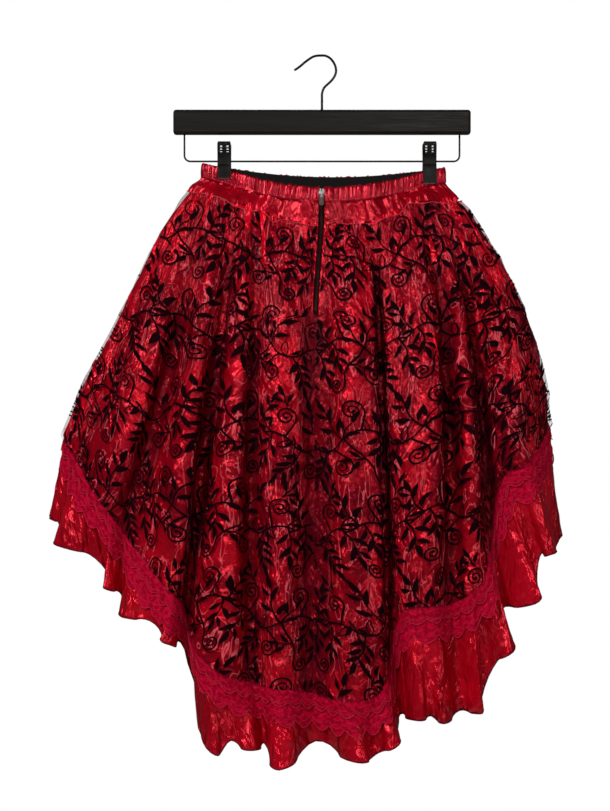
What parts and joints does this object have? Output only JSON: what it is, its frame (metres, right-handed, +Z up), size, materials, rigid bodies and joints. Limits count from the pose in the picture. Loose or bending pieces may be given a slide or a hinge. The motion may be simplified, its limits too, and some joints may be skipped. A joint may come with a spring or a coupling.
{
  "type": "high-low skirt on a clip hanger",
  "caption": "High-low skirt of satin under sheer flocked organza, with lace and a gathered ruffle at the hem and a back zip, hung by its waistband from a clip hanger.",
  "frame": {"origin": "the underside of the hanger hook's crown, where a rail carries it", "axes": "+Z up; -Y out of the skirt's back, the side with the zip and the long hem; +X to the right of someone who looks at that side"},
  "size_m": [0.6046, 0.1602, 0.8185],
  "materials": {
    "bar": "near-black satin lacquer",
    "hook": "black plated wire",
    "rod": "black plated wire",
    "clip": "black moulded plastic",
    "spring": "plain steel",
    "waistband": "gathered satin over elastic",
    "facing": "black woven facing",
    "satin": "deep red satin with a strong sheen",
    "organza": "sheer dark red organza with a black flocked vine",
    "lace": "crimson scalloped lace",
    "zip_tape": "black twill tape",
    "zip_teeth": "dark metal chain",
    "zip_metal": "bright plated metal"
  },
  "bodies": {
    "skirt": {"clip_back_left": "clip", "clip_back_right": "clip", "clip_front_left": "clip", "clip_front_right": "clip", "clip_spring_left": "spring", "clip_spring_right": "spring", "hanger_bar": "bar", "hanger_hook": "hook", "hanger_rod": "rod", "lace_lower_back": "lace", "lace_lower_front": "lace", "lace_upper_back": "lace", "lace_upper_front": "lace", "overlay_back_left": "organza", "overlay_back_right": "organza", "overlay_front": "organza", "ruffle_back": "satin", "ruffle_front": "satin", "underskirt_back_left": "satin", "underskirt_back_right": "satin", "underskirt_front": "satin", "waist_facing_front": "facing", "waistband_back_left": "waistband", "waistband_back_right": "waistband", "waistband_front": "waistband", "yoke_back_left": "satin", "yoke_back_right": "satin", "yoke_front": "satin", "zip_slider": "zip_metal", "zip_stop_left": "zip_metal", "zip_stop_right": "zip_metal", "zip_tape_left": "zip_tape", "zip_tape_right": "zip_tape", "zip_teeth": "zip_teeth"},
    "zip_pull": {"zip_pull": "zip_metal"}
  },
  "joints": [
    {"name": "pull_tab_swing", "type": "hinge", "parent": "skirt", "child": "zip_pull", "pos_m": [-0.00091, -0.02406, -0.16487], "axis": [-1, 0, 0], "range_deg": [0, 160]}
  ]
}
